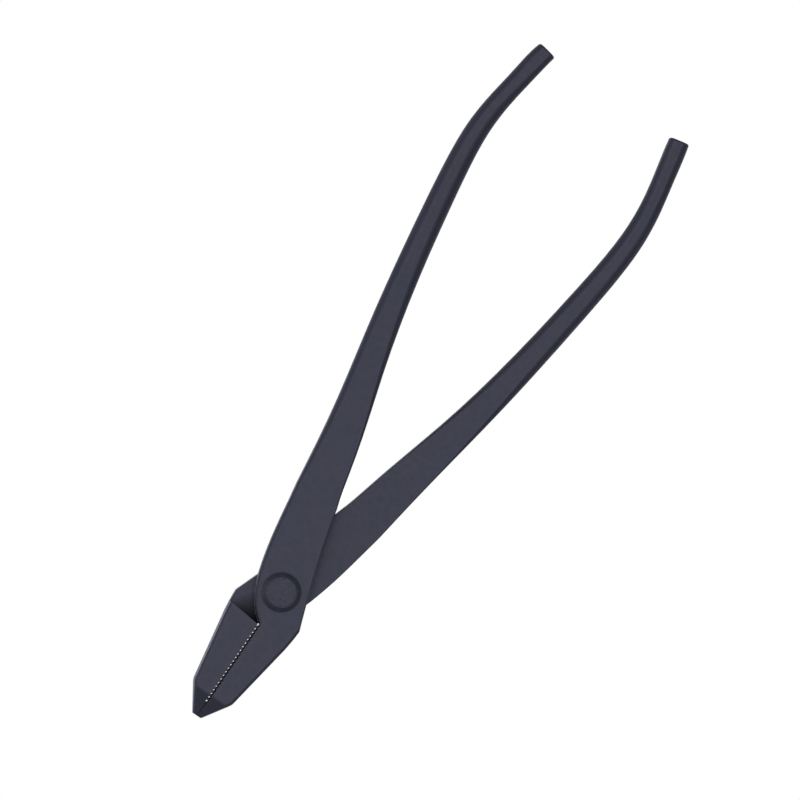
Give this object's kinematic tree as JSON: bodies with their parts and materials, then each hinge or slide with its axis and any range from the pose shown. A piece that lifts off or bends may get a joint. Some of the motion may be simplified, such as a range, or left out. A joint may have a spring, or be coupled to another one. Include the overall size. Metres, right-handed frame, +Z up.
{
  "type": "bonsai jin pliers",
  "caption": "Blackened forged steel pliers for bonsai work: riveted lap joint, short tapered jaws with straight cross teeth, long bowed handles that turn in at the ends.",
  "frame": {"origin": "on the rivet's axis, in the flat face of the rivet's rear head, which is what the joint rests on", "axes": "+Z up through the thickness of the tool as it lies flat, +Y along the tool from the rivet to the handle ends, +X to the right seen from above with the handles up; the front lever's handle is on -X and its jaw on +X"},
  "size_m": [0.0601, 0.2098, 0.0135],
  "materials": {
    "black_steel": "matte blue-black oxide over forged and ground steel",
    "rivet_steel": "matte blue-black oxide, hammered end"
  },
  "bodies": {
    "rear_half": {"rear_lever": "black_steel", "pivot_rivet": "rivet_steel", "rivet_washer": "rivet_steel"},
    "front_half": {"front_lever": "black_steel"}
  },
  "joints": [
    {"name": "jaw_opening", "type": "hinge", "parent": "rear_half", "child": "front_half", "pos_m": [0, 0, 0.00667], "axis": [0, 0, 1], "range_deg": [0, 85]}
  ]
}
